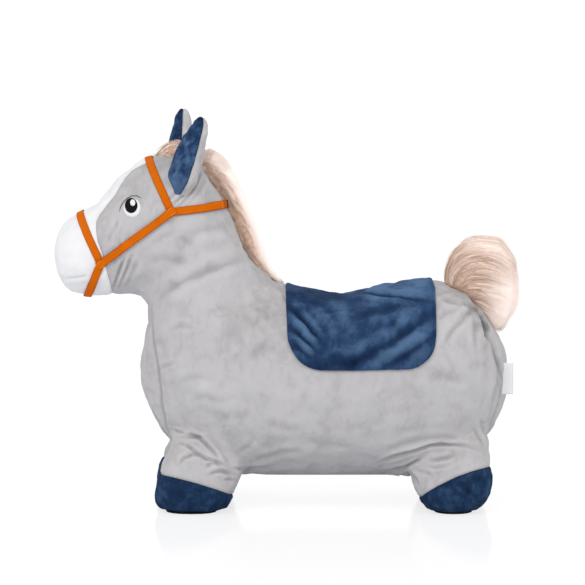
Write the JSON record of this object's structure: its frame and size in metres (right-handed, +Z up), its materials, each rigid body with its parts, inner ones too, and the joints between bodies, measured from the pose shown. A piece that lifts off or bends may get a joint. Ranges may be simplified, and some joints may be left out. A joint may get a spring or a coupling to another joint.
{
  "type": "bouncy ride-on animal",
  "caption": "Inflatable bouncy ride-on horse in a zipped plush cover, with halter, saddle cloth, mane, soft ears and a swinging tail; an air bladder with valve sits inside.",
  "frame": {"origin": "on the floor, under the middle of the bounding box", "axes": "+X towards the tail, the horse looks along -X; +Y to its right side; +Z up"},
  "size_m": [0.6477, 0.251, 0.5497],
  "materials": {
    "grey_plush": "short pile velour",
    "white_plush": "short pile velour",
    "blue_velvet": "crushed velvet",
    "orange_webbing": "woven webbing",
    "cream_hair": "combed long pile",
    "black_thread": "satin stitch",
    "white_thread": "satin stitch",
    "sole_grip": "matt, dotted",
    "bladder_vinyl": "soft vinyl film",
    "valve_rubber": "soft, satin",
    "zip_plastic": "moulded teeth on woven tape",
    "zip_metal": "plated",
    "tag_ribbon": "printed side left blank"
  },
  "bodies": {
    "feet": {"hoof_front_left": "blue_velvet", "sole_front_left": "sole_grip", "leg_front_left": "grey_plush", "hoof_front_right": "blue_velvet", "sole_front_right": "sole_grip", "leg_front_right": "grey_plush", "hoof_rear_left": "blue_velvet", "sole_rear_left": "sole_grip", "leg_rear_left": "grey_plush", "hoof_rear_right": "blue_velvet", "sole_rear_right": "sole_grip", "leg_rear_right": "grey_plush"},
    "trunk": {"body_side_left": "grey_plush", "body_side_right": "grey_plush", "back_gusset": "grey_plush", "belly_gusset": "grey_plush", "chest_gusset": "grey_plush", "neck_side_left": "grey_plush", "neck_side_right": "grey_plush", "crest_gusset": "grey_plush", "face_left": "grey_plush", "face_right": "grey_plush", "muzzle": "white_plush", "nose_band": "orange_webbing", "chin_strap": "orange_webbing", "brow_band": "orange_webbing", "cheek_strap_left": "orange_webbing", "cheek_strap_right": "orange_webbing", "crown_strap_left": "orange_webbing", "crown_strap_right": "orange_webbing", "eye_white_left": "white_thread", "eye_pupil_left": "black_thread", "eye_white_right": "white_thread", "eye_pupil_right": "black_thread", "saddle_cloth": "blue_velvet", "mane": "cream_hair", "forelock": "cream_hair", "seam_tag": "tag_ribbon", "zip_chain_left": "zip_plastic", "zip_chain_right": "zip_plastic", "zip_stop": "zip_metal", "air_bladder": "bladder_vinyl", "valve_seat": "valve_rubber"},
    "ear_left": {"ear_lining_left": "blue_velvet", "ear_back_left": "grey_plush"},
    "ear_right": {"ear_lining_right": "blue_velvet", "ear_back_right": "grey_plush"},
    "tail": {"tail": "cream_hair"},
    "zip_slider": {"zip_slider": "zip_metal"},
    "zip_pull": {"zip_pull": "zip_metal"},
    "valve_plug": {"valve_plug": "valve_rubber"}
  },
  "joints": [
    {"name": "bounce", "type": "slide", "parent": "feet", "child": "trunk", "axis": [0, 0, 1], "range_m": [-0.02, 0], "stiffness_N_per_m": 6500, "springref_m": 0.003, "deforming": ["leg_front_left", "leg_front_right", "leg_rear_left", "leg_rear_right", "air_bladder"]},
    {"name": "ear_bend_left", "type": "hinge", "parent": "trunk", "child": "ear_left", "pos_m": [-0.14635, -0.056, 0.45073], "axis": [0, 1, 0], "range_deg": [-20, 20], "stiffness_Nm_per_rad": 0.15},
    {"name": "ear_bend_right", "type": "hinge", "parent": "trunk", "child": "ear_right", "pos_m": [-0.14635, 0.056, 0.45073], "axis": [0, 1, 0], "range_deg": [-20, 20], "stiffness_Nm_per_rad": 0.15},
    {"name": "tail_lift", "type": "hinge", "parent": "trunk", "child": "tail", "pos_m": [0.22386, 0, 0.3096], "axis": [0, -1, 0], "range_deg": [0, 35]},
    {"name": "zip_run", "type": "slide", "parent": "trunk", "child": "zip_slider", "axis": [1, 0, 0], "range_m": [-0.146, 0], "deforming": ["zip_chain_left", "zip_chain_right"]},
    {"name": "pull_swing", "type": "hinge", "parent": "zip_slider", "child": "zip_pull", "pos_m": [0.14581, 0, 0.03948], "axis": [0, 1, 0], "range_deg": [0, 160], "stiffness_Nm_per_rad": 0.001},
    {"name": "plug_draw", "type": "slide", "parent": "trunk", "child": "valve_plug", "axis": [0, 0, -1], "range_m": [0, 0.009]}
  ]
}
